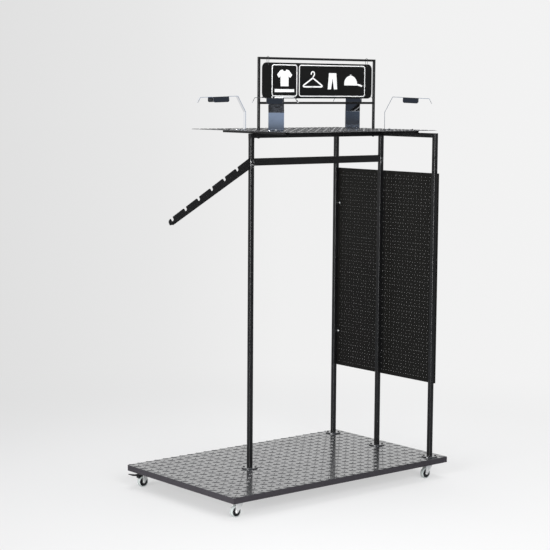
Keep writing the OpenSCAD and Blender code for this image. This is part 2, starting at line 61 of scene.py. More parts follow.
CAMERA_OFFSET = Vector((-4063.3, -5130.6, 1669.3)) * MM  # from the deck's near corner
CAMERA_AZIMUTH = math.radians(-39.805)
CAMERA_PITCH = math.radians(6.496)
CAMERA_ROLL = math.radians(0.408)
CAMERA_LENS = 106.46
FLOOR_GLOW = 0.60
WALL_FAR = (0.90, 0.90, 0.90)
WALL_SIDE = (0.42, 0.42, 0.43)
WALL_NEAR = (0.30, 0.37, 0.49)
BACKDROP_SPREAD = 0.36  # part of the direction over which the backdrop's grey changes
BACKDROP_FAR = 6.5  # metres added to a floor point's distance when it is made a direction
FLOOR_SIZE = 60
TOWARD_WALL = 50.0  # degrees: the white wall behind the object
TOWARD_DOORWAY = 212.5  # degrees: the doorway on the camera's side


def make_camera():
    low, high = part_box("deck_plate")
    a, e, r = CAMERA_AZIMUTH, CAMERA_PITCH, CAMERA_ROLL
    forward = Vector((-math.sin(a) * math.cos(e), math.cos(a) * math.cos(e), -math.sin(e)))
    right = Vector((math.cos(a), math.sin(a), 0))
    up = right.cross(forward)
    across = math.cos(r) * right + math.sin(r) * up
    above = -math.sin(r) * right + math.cos(r) * up
    turn = Matrix((across, above, -forward)).transposed().to_4x4()
    data = bpy.data.cameras.new("camera")
    data.lens = CAMERA_LENS
    data.clip_end = 200
    camera = bpy.data.objects.new("camera", data)
    camera.matrix_world = Matrix.Translation(Vector((low.x, low.y, high.z)) + CAMERA_OFFSET) @ turn
    bpy.context.scene.collection.objects.link(camera)
    bpy.context.scene.camera = camera


def backdrop_tone(tree, place, width):
    """The backdrop's grey, a little darker on the left, from a place or a direction."""
    side = tree.nodes.new("ShaderNodeVectorMath")
    side.operation = "DOT_PRODUCT"
    side.inputs[1].default_value = Vector((math.cos(CAMERA_AZIMUTH), math.sin(CAMERA_AZIMUTH), 0)) / width
    tree.links.new(place, side.inputs[0])
    shift = tree.nodes.new("ShaderNodeMath")
    shift.operation = "ADD"
    shift.inputs[1].default_value = 0.5
    tree.links.new(side.outputs["Value"], shift.inputs[0])
    ramp = tree.nodes.new("ShaderNodeValToRGB")
    fill_ramp(ramp, ((0.0, 0.745), (0.28, 0.80), (0.50, 0.87), (1.0, 0.895)))
    tree.links.new(shift.outputs[0], ramp.inputs["Fac"])
    return ramp.outputs["Color"]


def make_floor():
    """A pale floor that fades into the backdrop's tone away from the object. Seen in gloss,
    it is a dimmer plain floor with the white wall behind the object."""
    corners = ((-1, -1), (1, -1), (1, 1), (-1, 1))
    mesh = bpy.data.meshes.new("floor")
    mesh.from_pydata([(x * FLOOR_SIZE, y * FLOOR_SIZE, 0) for x, y in corners], [], [(0, 1, 2, 3)])
    floor = bpy.data.objects.new("floor", mesh)
    bpy.context.scene.collection.objects.link(floor)
    surface = bpy.data.materials.new("floor")
    surface.use_nodes = True
    tree = surface.node_tree
    tree.nodes.clear()
    out = tree.nodes.new("ShaderNodeOutputMaterial")
    lit = tree.nodes.new("ShaderNodeBsdfDiffuse")
    albedo = tree.nodes.new("ShaderNodeMix")
    albedo.data_type = "RGBA"
    albedo.inputs[6].default_value = (0.86, 0.86, 0.86, 1)
    albedo.inputs[7].default_value = (0.30, 0.31, 0.33, 1)
    tree.links.new(albedo.outputs[2], lit.inputs["Color"])
    glow = tree.nodes.new("ShaderNodeEmission")
    mix = tree.nodes.new("ShaderNodeMixShader")
    place = tree.nodes.new("ShaderNodeNewGeometry")
    reach = tree.nodes.new("ShaderNodeMath")
    reach.inputs[1].default_value = BACKDROP_FAR
    inverse = tree.nodes.new("ShaderNodeMath")
    inverse.operation = "DIVIDE"
    inverse.inputs[0].default_value = 1.0
    angle = tree.nodes.new("ShaderNodeVectorMath")
    angle.operation = "SCALE"
    tree.links.new(reach.outputs[0], inverse.inputs[1])
    tree.links.new(place.outputs["Position"], angle.inputs[0])
    tree.links.new(inverse.outputs[0], angle.inputs["Scale"])
    tone = backdrop_tone(tree, angle.outputs[0], BACKDROP_SPREAD)
    tree.links.new(tone, glow.inputs["Color"])
    behind = tree.nodes.new("ShaderNodeVectorMath")
    behind.operation = "DOT_PRODUCT"
    behind.inputs[1].default_value = Vector((0.64, 0.768, 0))
    tree.links.new(place.outputs["Position"], behind.inputs[0])
    wall = tree.nodes.new("ShaderNodeMapRange")
    wall.interpolation_type = "SMOOTHSTEP"
    for name, value in (("From Min", 1.5), ("From Max", 5.0), ("To Min", 0.0), ("To Max", 1.0)):
        wall.inputs[name].default_value = value
    tree.links.new(behind.outputs["Value"], wall.inputs["Value"])
    shown = tree.nodes.new("ShaderNodeMath")
    shown.operation = "MAXIMUM"
    tree.links.new(wall.outputs["Result"], shown.inputs[0])
    distance = tree.nodes.new("ShaderNodeVectorMath")
    distance.operation = "LENGTH"
    fade = tree.nodes.new("ShaderNodeMapRange")
    fade.interpolation_type = "SMOOTHSTEP"
    for name, value in (("From Min", 0.6), ("From Max", 3.2), ("To Min", FLOOR_GLOW), ("To Max", 1.0)):
        fade.inputs[name].default_value = value
    path = tree.nodes.new("ShaderNodeLightPath")
    weight = tree.nodes.new("ShaderNodeMath")
    weight.operation = "MULTIPLY"
    tree.links.new(place.outputs["Position"], distance.inputs[0])
    tree.links.new(distance.outputs["Value"], reach.inputs[0])
    tree.links.new(distance.outputs["Value"], fade.inputs["Value"])
    tree.links.new(fade.outputs["Result"], weight.inputs[0])
    tree.links.new(path.outputs["Is Camera Ray"], shown.inputs[1])
    tree.links.new(path.outputs["Is Glossy Ray"], albedo.inputs[0])
    tree.links.new(shown.outputs[0], weight.inputs[1])
    tree.links.new(weight.outputs[0], mix.inputs["Fac"])
    tree.links.new(lit.outputs[0], mix.inputs[1])
    tree.links.new(glow.outputs[0], mix.inputs[2])
    tree.links.new(mix.outputs[0], out.inputs["Surface"])
    mesh.materials.append(surface)


def make_world():
    """A studio seen in reflections: a white wall behind the object, dim sides, a grey-blue
    wall with a dark doorway on the camera's side, and a dark ceiling. The camera itself
    sees a plain pale backdrop."""
    world = bpy.data.worlds.new("studio")
    bpy.context.scene.world = world
    world.use_nodes = True
    tree = world.node_tree
    tree.nodes.clear()
    out = tree.nodes.new("ShaderNodeOutputWorld")
    place = tree.nodes.new("ShaderNodeTexCoord").outputs["Generated"]

    def along(direction, stops):
        """A colour ramp over the direction's share along a unit vector, from -1 to 1."""
        share = tree.nodes.new("ShaderNodeVectorMath")
        share.operation = "DOT_PRODUCT"
        share.inputs[1].default_value = direction
        tree.links.new(place, share.inputs[0])
        lift = tree.nodes.new("ShaderNodeMath")
        lift.operation = "MULTIPLY_ADD"
        lift.inputs[1].default_value = 0.5
        lift.inputs[2].default_value = 0.5
        tree.links.new(share.outputs["Value"], lift.inputs[0])
        ramp = tree.nodes.new("ShaderNodeValToRGB")
        fill_ramp(ramp, [((at + 1) / 2, tone) for at, tone in stops])
        tree.links.new(lift.outputs[0], ramp.inputs["Fac"])
        return ramp.outputs["Color"]

    def toward(azimuth):
        return Vector((math.cos(math.radians(azimuth)), math.sin(math.radians(azimuth)), 0))

    def product(first, second):
        node = tree.nodes.new("ShaderNodeMix")
        node.data_type = "RGBA"
        node.blend_type = "MULTIPLY"
        node.inputs[0].default_value = 1.0
        tree.links.new(first, node.inputs[6])
        tree.links.new(second, node.inputs[7])
        return node.outputs[2]

    walls = along(toward(TOWARD_WALL), ((-0.8, WALL_NEAR), (-0.35, WALL_SIDE), (0.12, WALL_SIDE),
                                        (0.45, WALL_FAR), (1.0, WALL_FAR)))
    doorway = along(toward(TOWARD_DOORWAY), ((0.976, (1, 1, 1)), (0.983, (0.18, 0.18, 0.18))))
    height = along(Vector((0, 0, 1)), ((-1.0, (1, 1, 1)), (0.32, (1, 1, 1)), (0.52, (0.13, 0.135, 0.145)),
                                       (1.0, (0.09, 0.094, 0.10))))
    room = tree.nodes.new("ShaderNodeBackground")
    tree.links.new(product(product(walls, doorway), height), room.inputs["Color"])
    plain = tree.nodes.new("ShaderNodeBackground")
    tree.links.new(backdrop_tone(tree, place, BACKDROP_SPREAD), plain.inputs["Color"])
    path = tree.nodes.new("ShaderNodeLightPath")
    pick = tree.nodes.new("ShaderNodeMixShader")
    tree.links.new(path.outputs["Is Camera Ray"], pick.inputs["Fac"])
    tree.links.new(room.outputs[0], pick.inputs[1])
    tree.links.new(plain.outputs[0], pick.inputs[2])
    tree.links.new(pick.outputs[0], out.inputs["Surface"])


def make_light(name, place, aim, size, power, glossy):
    data = bpy.data.lights.new(name, "AREA")
    data.shape = "RECTANGLE"
    data.size, data.size_y = size
    data.energy = power
    light = bpy.data.objects.new(name, data)
    direction = Vector(aim) - Vector(place)
    light.rotation_euler = direction.to_track_quat("-Z", "Y").to_euler()
    light.location = place
    light.visible_camera = False
    light.visible_glossy = glossy
    bpy.context.scene.collection.objects.link(light)


def make_lights():
    make_light("overhead", (0.6, 0.4, 4.6), (0, 0, 0), (4.0, 4.0), 150, False)
    make_light("strip", (-5.2, -1.7, 1.3), (0, 0, 1.1), (2.4, 2.8), 390, True)
    make_light("fill", (-1.8, -5.0, 2.8), (0, 0, 1.2), (2.4, 2.4), 230, False)


# ---------- materials ----------

def fill_ramp(ramp, stops):
    """Sets a colour ramp's stops from (place, colour or grey) pairs."""
    elements = ramp.color_ramp.elements
    while len(elements) > len(stops):
        elements.remove(elements[-1])
    while len(elements) < len(stops):
        elements.new(1.0)
    for element, (place, tone) in zip(elements, stops):
        rgb = tone if isinstance(tone, tuple) else (tone, tone, tone)
        element.position = place
        element.color = (*rgb, 1)


class Finish:
    """A node material: a Principled shader whose colour, roughness and bump come from noise."""

    def __init__(self, name, metallic=0.0, specular=0.5, coat=0.0):
        self.material = bpy.data.materials.new(name)
        self.material.use_nodes = True
        self.tree = self.material.node_tree
        self.shader = self.tree.nodes["Principled BSDF"]
        self.shader.inputs["Metallic"].default_value = metallic
        self.shader.inputs["Specular IOR Level"].default_value = specular
        self.shader.inputs["Coat Weight"].default_value = coat
        self.place = self.tree.nodes.new("ShaderNodeTexCoord").outputs["Object"]
        self.normal = None

    def link(self, source, target):
        self.tree.links.new(source, target)

    def noise(self, size, detail=3.0, stretch=(1, 1, 1), roughness=0.55):
        """Noise with features of about that size, in metres."""
        scaled = self.tree.nodes.new("ShaderNodeVectorMath")
        scaled.operation = "MULTIPLY"
        scaled.inputs[1].default_value = Vector(stretch)
        self.link(self.place, scaled.inputs[0])
        node = self.tree.nodes.new("ShaderNodeTexNoise")
        node.inputs["Scale"].default_value = 1 / size
        node.inputs["Detail"].default_value = detail
        node.inputs["Roughness"].default_value = roughness
        self.link(scaled.outputs[0], node.inputs["Vector"])
        return node.outputs["Fac"]

    def ramp(self, source, stops):
        node = self.tree.nodes.new("ShaderNodeValToRGB")
        fill_ramp(node, stops)
        self.link(source, node.inputs["Fac"])
        return node.outputs["Color"]

    def mix(self, weight, first, second):
        node = self.tree.nodes.new("ShaderNodeMix")
        node.data_type = "RGBA"
        self.link(weight, node.inputs[0])
        for socket, value in ((node.inputs[6], first), (node.inputs[7], second)):
            if isinstance(value, tuple):
                socket.default_value = (*value, 1)
            else:
                self.link(value, socket)
        return node.outputs[2]

    def color(self, source):
        self.link(source, self.shader.inputs["Base Color"])

    def roughness(self, source):
        self.link(source, self.shader.inputs["Roughness"])

    def bump(self, source, depth, strength=1.0):
        node = self.tree.nodes.new("ShaderNodeBump")
        node.inputs["Strength"].default_value = strength
        node.inputs["Distance"].default_value = depth
        self.link(source, node.inputs["Height"])
        if self.normal is not None:
            self.link(self.normal, node.inputs["Normal"])
        self.normal = node.outputs["Normal"]
        self.link(self.normal, self.shader.inputs["Normal"])


def coated(name, tone, worn, gloss, grain, depth, scuff=0.66, specular=0.5, coat=0.0):
    """Paint: mottled colour, orange-peel grain, uneven gloss and a few lighter scuffs."""
    finish = Finish(name, specular=specular, coat=coat)
    cloud = finish.noise(70 * MM, 4)
    marks = finish.noise(9 * MM, 6, stretch=(1, 1, 0.25), roughness=0.7)
    base = finish.mix(cloud, tone, tuple(0.78 * c for c in tone))
    scuffs = finish.ramp(marks, ((scuff, 0.0), (scuff + 0.1, 0.6)))
    finish.color(finish.mix(scuffs, base, worn))
    finish.roughness(finish.ramp(cloud, ((0.3, gloss[0]), (0.7, gloss[1]))))
    finish.bump(finish.noise(grain, 2), depth, 0.5)
    return finish.material


def flecked(name, spots, reach, like):
    """Powder paint with flecks of plain light grey colour painted close to the given places."""
    tone, gloss, grain, depth, specular = like
    finish = Finish(name, specular=specular)
    tree = finish.tree
    near = None
    for spot in spots:
        away = tree.nodes.new("ShaderNodeVectorMath")
        away.operation = "DISTANCE"
        away.inputs[1].default_value = spot
        finish.link(finish.place, away.inputs[0])
        fall = tree.nodes.new("ShaderNodeMapRange")
        for socket, value in (("From Min", 0.35 * reach), ("From Max", reach),
                              ("To Min", 1.0), ("To Max", 0.0)):
            fall.inputs[socket].default_value = value
        finish.link(away.outputs["Value"], fall.inputs["Value"])
        if near is None:
            near = fall.outputs["Result"]
        else:
            larger = tree.nodes.new("ShaderNodeMath")
            larger.operation = "MAXIMUM"
            finish.link(near, larger.inputs[0])
            finish.link(fall.outputs["Result"], larger.inputs[1])
            near = larger.outputs[0]
    fleck_noise = finish.noise(5 * MM, 5, stretch=(1, 1, 0.5), roughness=0.7)
    flecks = finish.ramp(fleck_noise, ((0.55, 0.0), (0.62, 0.8)))
    fleck_mask = tree.nodes.new("ShaderNodeMath")
    fleck_mask.operation = "MULTIPLY"
    finish.link(near, fleck_mask.inputs[0])
    finish.link(flecks, fleck_mask.inputs[1])
    cloud = finish.noise(70 * MM, 4)
    base = finish.mix(cloud, tone, tuple(0.78 * c for c in tone))
    # the flecks are a flat light grey base colour, painted in near the given places
    finish.color(finish.mix(fleck_mask.outputs[0], base, (0.62, 0.62, 0.62)))
    finish.roughness(finish.ramp(cloud, ((0.3, gloss[0]), (0.7, gloss[1]))))
    finish.bump(finish.noise(grain, 2), depth, 0.5)
    return finish.material


def hook_places(upright, *hooked):
    """Where the hooked parts meet an upright's nearest corner."""
    low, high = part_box(upright)
    places = []
    for node in hooked:
        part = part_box(node)
        side = low.x if part[0].x < low.x else high.x
        places.append(Vector((side, low.y, part[1].z - 26 * MM)))
    return places


def bare_metal(name, tone, dull, gloss, grain, depth, stretch=(1, 1, 1), metallic=1.0):
    """Bare or plated metal: uneven tone, uneven gloss and fine directional marks."""
    finish = Finish(name, metallic=metallic)
    cloud = finish.noise(25 * MM, 4)
    lines = finish.noise(grain, 3, stretch=stretch)
    finish.color(finish.mix(cloud, tone, dull))
    finish.roughness(finish.ramp(lines, ((0.3, gloss[0]), (0.75, gloss[1]))))
    finish.bump(lines, depth, 0.4)
    return finish.material


def moulded(name, tone, gloss, grain, depth):
    """Moulded plastic or rubber: a fine even texture and slight colour drift."""
    finish = Finish(name, specular=0.4)
    cloud = finish.noise(18 * MM, 3)
    finish.color(finish.mix(cloud, tone, tuple(0.8 * c for c in tone)))
    finish.roughness(finish.ramp(cloud, ((0.3, gloss[0]), (0.7, gloss[1]))))
    finish.bump(finish.noise(grain, 2), depth, 0.5)
    return finish.material


POWDER = ((0.0052, 0.0052, 0.0054), (0.26, 0.36), 1.1 * MM, 0.025 * MM, 0.5)
FINISHES = {
    # the front and middle uprights: black powder with light grey flecks painted where the rail and arm hook on
    "front_upright_worn": flecked("front_upright_worn",
                                 hook_places("front_upright", "waterfall_arm", "hanging_rail"),
                                 22 * MM, POWDER),
    "middle_upright_worn": flecked("middle_upright_worn",
                                  hook_places("middle_upright", "hanging_rail"),
                                  20 * MM, POWDER),
    "base_paint": coated("base_paint", (0.031, 0.027, 0.032), (0.09, 0.085, 0.09),
                         (0.46, 0.58), 1.3 * MM, 0.08 * MM),
    "deck_tread": coated("deck_tread", (0.050, 0.051, 0.054), (0.13, 0.13, 0.14),
                         (0.18, 0.28), 2.2 * MM, 0.03 * MM, scuff=0.64, specular=0.85, coat=0.7),
    "black_powder": coated("black_powder", (0.0052, 0.0052, 0.0054), (0.035, 0.035, 0.035),
                           (0.26, 0.36), 1.1 * MM, 0.025 * MM, scuff=0.72, specular=0.5),
    "panel_gloss": coated("panel_gloss", (0.0072, 0.0069, 0.0062), (0.02, 0.02, 0.02),
                          (0.30, 0.42), 3.0 * MM, 0.03 * MM, scuff=0.74, specular=0.12),
    "shelf_tread": coated("shelf_tread", (0.060, 0.060, 0.062), (0.14, 0.14, 0.15),
                          (0.20, 0.30), 2.2 * MM, 0.03 * MM, scuff=0.64, specular=0.85, coat=0.7),
    "black_fixings": coated("black_fixings", (0.014, 0.014, 0.015), (0.12, 0.12, 0.12),
                            (0.30, 0.45), 0.6 * MM, 0.03 * MM, scuff=0.62),
    "board_face": coated("board_face", (0.0070, 0.0070, 0.0068), (0.02, 0.02, 0.02),
                         (0.42, 0.55), 0.8 * MM, 0.03 * MM, scuff=0.76, specular=0.15),
    "mirror_steel": bare_metal("mirror_steel", (0.80, 0.82, 0.86), (0.74, 0.76, 0.80),
                               (0.03, 0.06), 1.2 * MM, 0.001 * MM, (1, 1, 0.1)),
    "bright_zinc": bare_metal("bright_zinc", (0.86, 0.86, 0.84), (0.70, 0.70, 0.69),
                              (0.30, 0.46), 0.9 * MM, 0.02 * MM, metallic=0.55),
    "black_plastic": moulded("black_plastic", (0.010, 0.010, 0.011), (0.38, 0.52), 0.5 * MM, 0.04 * MM),
    "grey_tyre": moulded("grey_tyre", (0.40, 0.43, 0.42), (0.42, 0.60), 0.6 * MM, 0.04 * MM),
    "print_white": moulded("print_white", (0.92, 0.92, 0.91), (0.45, 0.55), 0.4 * MM, 0.02 * MM),
}


# ---------- mesh helpers ----------

def finish_piece(obj, body, surface, replaced=(), smooth=38):
    """Gives a new mesh its material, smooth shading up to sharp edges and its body."""
    mesh = obj.data
    mesh.materials.clear()
    mesh.materials.append(FINISHES[surface])
    mesh.shade_smooth()
    mesh.set_sharp_from_angle(angle=math.radians(smooth))
    weighted = obj.modifiers.new("weighted", "WEIGHTED_NORMAL")
    weighted.keep_sharp = True
    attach(obj, body)
    if replaced:
        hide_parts(*replaced)
    return obj


def mesh_object(name, bm):
    bmesh.ops.recalc_face_normals(bm, faces=bm.faces)
    mesh = bpy.data.meshes.new(name)
    bm.to_mesh(mesh)
    bm.free()
    obj = bpy.data.objects.new(name, mesh)
    bpy.context.scene.collection.objects.link(obj)
    return obj


def sharp_edges(bm, angle, shortest=0.0, convex_only=False):
    """Edges between two faces that meet at more than angle degrees."""
    limit = math.radians(angle)
    return [e for e in bm.edges if e.is_manifold and e.calc_face_angle(0) > limit
            and e.calc_length() >= shortest and (e.is_convex or not convex_only)]


def softened(node, corner=0.0, shortest=60 * MM, edge=0.35 * MM, surface=None):
    """A copy of a CAD node with rounded long corners and eased small edges."""
    bm = bmesh.new()
    bm.from_mesh(NODES[node].data)
    bmesh.ops.remove_doubles(bm, verts=bm.verts, dist=0.002 * MM)
    bmesh.ops.dissolve_limit(bm, angle_limit=math.radians(0.5), verts=bm.verts, edges=bm.edges)
    if corner:
        bmesh.ops.bevel(bm, geom=sharp_edges(bm, 60, shortest, True), offset=corner,
                        offset_type="OFFSET", segments=4, profile=0.5, affect="EDGES")
    if edge:
        bmesh.ops.bevel(bm, geom=sharp_edges(bm, 40), offset=edge, offset_type="OFFSET",
                        segments=2, profile=0.5, affect="EDGES", clamp_overlap=True)
    bmesh.ops.remove_doubles(bm, verts=bm.verts, dist=0.0005 * MM)
    obj = mesh_object(node + ".look", bm)
    slot = SLOT_OF[node]
    return finish_piece(obj, BODY_OF[node], surface or slot, [node])


# ---------- tread plate ----------

TREAD_X = 46.7 * MM
TREAD_Y = 49.9 * MM
FIRST_X = 14.9 * MM
FIRST_Y = 10.2 * MM
DASH_L = 38 * MM
DASH_W = 11 * MM
FOOT_SWEEP = 62 * MM
FOOT_RELIEF = 0.78
DASH_PROUD = 0.2  # share of the relief above the CAD plate's top


def lozenge(bm, centre, angle, length, width, height, sink):
    """One raised lens-shaped dash of a tread plate, closed underneath."""
    stations = [-1 + 2 * i / 8 for i in range(9)]
    across = (-1, -0.55, 0, 0.55, 1)
    turn = Matrix.Rotation(angle, 3, "Z")

    def point(t, s):
        half = width / 2 * (1 - t * t)
        rise = height * (1 - s * s) * (1 - abs(t) ** 5)
        local = Vector((t * length / 2, s * half, rise if abs(s) < 1 else -sink))
        return bm.verts.new(centre + turn @ local)

    tips = [bm.verts.new(centre + turn @ Vector((end * length / 2, 0, -sink))) for end in (-1, 1)]
    rows = [[point(t, s) for s in across] for t in stations[1:-1]]
    for row, after in zip(rows, rows[1:]):
        for i in range(len(across) - 1):
            bm.faces.new((row[i], after[i], after[i + 1], row[i + 1]))
    for i in range(len(across) - 1):
        bm.faces.new((tips[0], rows[0][i], rows[0][i + 1]))
        bm.faces.new((tips[1], rows[-1][i + 1], rows[-1][i]))
    right = [row[0] for row in rows]
    left = [row[-1] for row in rows]
    bm.faces.new([tips[0], *left, tips[1], *reversed(right)])


def tread_plate(node, relief, feet=()):
    """A flat plate with raised dashes along one diagonal and, midway, along the other.
    Dashes that a turning foot passes over are a little lower, so that it clears them."""
    low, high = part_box(node)
    top = high.z - (1 - DASH_PROUD) * relief
    bm = bmesh.new()
    for turn, shift in ((-45, 0.0), (45, 0.5)):
        for i in range(int((high.x - low.x) / TREAD_X) + 3):
            for j in range(int((high.y - low.y) / TREAD_Y) + 3):
                centre = Vector((low.x + FIRST_X + (i - shift) * TREAD_X,
                                 low.y + FIRST_Y + (j - shift) * TREAD_Y, top))
                if low.x < centre.x < high.x and low.y < centre.y < high.y:
                    under = any((foot - centre).xy.length < FOOT_SWEEP for foot in feet)
                    lozenge(bm, centre, math.radians(turn), DASH_L, DASH_W,
                            relief * (FOOT_RELIEF if under else 1), 0.15 * MM)
    inset = 0.5 * MM
    for place, outward in ((low.x + inset, (-1, 0, 0)), (high.x - inset, (1, 0, 0)),
                           (low.y + inset, (0, -1, 0)), (high.y - inset, (0, 1, 0))):
        at = Vector((place, 0, 0)) if outward[0] else Vector((0, place, 0))
        bmesh.ops.bisect_plane(bm, geom=[*bm.verts, *bm.edges, *bm.faces], dist=0.005 * MM,
                               plane_co=at, plane_no=outward, clear_outer=True)
        bmesh.ops.holes_fill(bm, edges=[e for e in bm.edges if e.is_boundary], sides=0)
    plate = bmesh.new()
    bmesh.ops.create_cube(plate, size=1.0, matrix=Matrix.LocRotScale(
        Vector(((low.x + high.x) / 2, (low.y + high.y) / 2, (low.z + top) / 2)), None,
        Vector((high.x - low.x, high.y - low.y, top - low.z))))
    bmesh.ops.bevel(plate, geom=sharp_edges(plate, 60), offset=0.3 * MM, segments=2, profile=0.5,
                    affect="EDGES")
    mesh = bpy.data.meshes.new(node + ".plate")
    plate.to_mesh(mesh)
    plate.free()
    bm.from_mesh(mesh)
    bpy.data.meshes.remove(mesh)
    obj = mesh_object(node + ".look", bm)
    return finish_piece(obj, BODY_OF[node], SLOT_OF[node], [node], smooth=50)


# ---------- perforated panel ----------

HOLE_R = 1.45 * MM
HOLE_MARGIN = 20 * MM
HOLE_ROWS = 64
GAPS_NARROW = 39
GAPS_WIDE = 23


def circle_points(y, z, radius, sides):
    return [Vector((y + radius * math.cos(2 * math.pi * (k + 0.5) / sides),
                    z + radius * math.sin(2 * math.pi * (k + 0.5) / sides)))
            for k in range(sides)]


def perforated_sheet(node):
    """The panel's sheet with rows of round holes, wide and narrow spacing in turn."""
    low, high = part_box(node)
    height = (high.z - low.z - 2 * HOLE_MARGIN) / (HOLE_ROWS - 1)
    width = high.y - low.y - 2 * HOLE_MARGIN
    points = [Vector((low.y, low.z)), Vector((high.y, low.z)), Vector((high.y, high.z)),
              Vector((low.y, high.z))]
    loops = [[0, 1, 2, 3]]
    for row in range(HOLE_ROWS):
        gaps = GAPS_NARROW if row % 2 else GAPS_WIDE
        z = high.z - HOLE_MARGIN - row * height
        for i in range(gaps + 1):
            ring = circle_points(low.y + HOLE_MARGIN + i * width / gaps, z, HOLE_R, 8)
            loops.append(list(range(len(points), len(points) + len(ring))))
            points += ring
    verts, _, faces, _, _, origins = delaunay_2d_cdt(points, [], loops, 1, 1e-7)
    bm = bmesh.new()
    near = [bm.verts.new((low.x, v.x, v.y)) for v in verts]
    far = [bm.verts.new((high.x, v.x, v.y)) for v in verts]
    edges = {}
    for face, origin in zip(faces, origins):
        if origin != [0]:
            continue
        bm.faces.new([near[i] for i in face])
        bm.faces.new([far[i] for i in reversed(face)])
        for a, b in zip(face, [*face[1:], face[0]]):
            edges[(a, b)] = True
    for a, b in edges:
        if (b, a) not in edges:
            bm.faces.new((near[b], near[a], far[a], far[b]))
    loose = [v for v in bm.verts if not v.link_faces]
    bmesh.ops.delete(bm, geom=loose, context="VERTS")
    obj = mesh_object(node + ".look", bm)
    return finish_piece(obj, BODY_OF[node], SLOT_OF[node], [node])


# ---------- bent strip cap holders ----------

STRIP_W = 68 * MM
STRIP_T = 2 * MM
FOOT = 44 * MM
LEG_H = 78 * MM
BROW = 35 * MM
HEAD_H = 147 * MM
HEAD_REACH = 200 * MM
DROOP = 7 * MM
TAB_OUT = 11.6 * MM
TAB_DOWN = 23.2 * MM
TAB_R = 8 * MM
WING_MID = 117 * MM
WING_L = 70 * MM
WING_REACH = 85 * MM
SCREW_OUT = 22 * MM
HEADINGS = {"front_left": 150, "front_right": 228, "rear_left": 45, "rear_right": -45}


def filleted(points, radius, steps=5):
    """A 2D polyline with its inner corners rounded."""
    points = [Vector(p) for p in points]
    line = [points[0]]
    for before, corner, after in zip(points, points[1:], points[2:]):
        a = (before - corner).normalized()
        b = (after - corner).normalized()
        half = a.angle(b) / 2
        cut = radius / math.tan(half)
        centre = corner + (a + b).normalized() * radius / math.sin(half)
        first, last = corner + a * cut - centre, corner + b * cut - centre
        for i in range(steps + 1):
            line.append(centre + radius * first.slerp(last, i / steps))
    return [*line, points[-1]]


def with_stations(line, marks):
    """The polyline with extra points where its first coordinate passes each mark."""
    result = [line[0]]
    for a, b in zip(line, line[1:]):
        inside = sorted((m for m in marks if min(a.x, b.x) < m < max(a.x, b.x)),
                        reverse=b.x < a.x)
        result += [a.lerp(b, (m - a.x) / (b.x - a.x)) for m in inside]
        result.append(b)
    return result


def rounded_end(line, radius, steps=6):
    """Adds points near the line's last end, close enough for a rounded outline there."""
    tip, back = line[-1], (line[-2] - line[-1]).normalized()
    angles = [math.pi / 2 * i / steps for i in range(steps, 0, -1)]
    return [*line[:-1], *[tip + back * radius * (1 - math.cos(a)) for a in angles], tip]


def lengths(line):
    total = [0.0]
    for a, b in zip(line, line[1:]):
        total.append(total[-1] + (b - a).length)
    return total


def end_inset(distance, radius):
    """How far a rounded corner's outline is drawn in, at a distance from the end."""
    if distance >= radius:
        return 0.0
    return radius - math.sqrt(max(0.0, radius ** 2 - (radius - distance) ** 2))


def line_normals(line):
    normals = []
    for i in range(len(line)):
        a = line[max(i - 1, 0)]
        b = line[min(i + 1, len(line) - 1)]
        along = (b - a).normalized()
        normals.append(Vector((-along.y, along.x)))
    return normals


